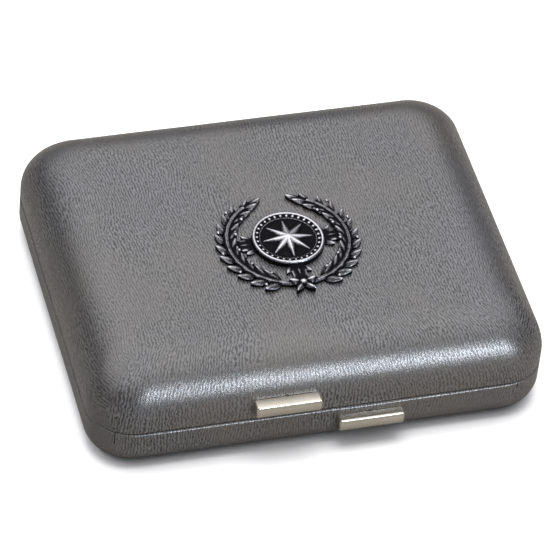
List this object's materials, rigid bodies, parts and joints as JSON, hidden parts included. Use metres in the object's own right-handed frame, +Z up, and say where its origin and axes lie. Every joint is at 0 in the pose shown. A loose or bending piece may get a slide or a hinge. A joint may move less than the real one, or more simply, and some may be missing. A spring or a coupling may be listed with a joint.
{
  "type": "coin presentation box",
  "caption": "Leatherette-covered clamshell coin box with a cam-hinged lid, finger tabs, a wreath emblem and a velvet insert with a round capsule recess.",
  "frame": {"origin": "middle of the flat underside of the closed case, on the surface it stands on", "axes": "+Z up, -Y towards the finger tabs at the front, +Y towards the hinge, +X to the right seen from the front"},
  "size_m": [0.102, 0.0868, 0.0277],
  "materials": {
    "leatherette": "embossed grain, low satin",
    "shell_steel": "primed sheet",
    "tab_nickel": "satin plated",
    "hinge_steel": "plated",
    "spring_steel": "bare",
    "rivet": "bare",
    "card": "greyboard",
    "velvet": "short pile",
    "satin": "satin weave",
    "pewter": "antiqued cast metal"
  },
  "bodies": {
    "base": {"base_shell": "shell_steel", "base_leatherette": "leatherette", "base_tab": "tab_nickel", "base_tab_rivets": "rivet", "base_hinge_leaf": "hinge_steel", "base_hinge_rivets": "rivet", "hinge_pin": "hinge_steel", "cam_springs": "spring_steel", "cam_spring_rivets": "rivet", "insert_board": "card", "insert_pad": "velvet"},
    "lid": {"lid_shell": "shell_steel", "lid_leatherette": "leatherette", "lid_tab": "tab_nickel", "lid_tab_rivets": "rivet", "lid_hinge_leaf": "hinge_steel", "lid_hinge_rivets": "rivet", "lid_spacer": "card", "lid_board": "card", "lid_pad": "satin", "emblem": "pewter", "emblem_nuts": "spring_steel"}
  },
  "joints": [
    {"name": "lid_hinge", "type": "hinge", "parent": "base", "child": "lid", "pos_m": [0, 0.04075, 0.0108], "axis": [-1, 0, 0], "range_deg": [0, 95], "deforming": ["cam_springs"]}
  ]
}
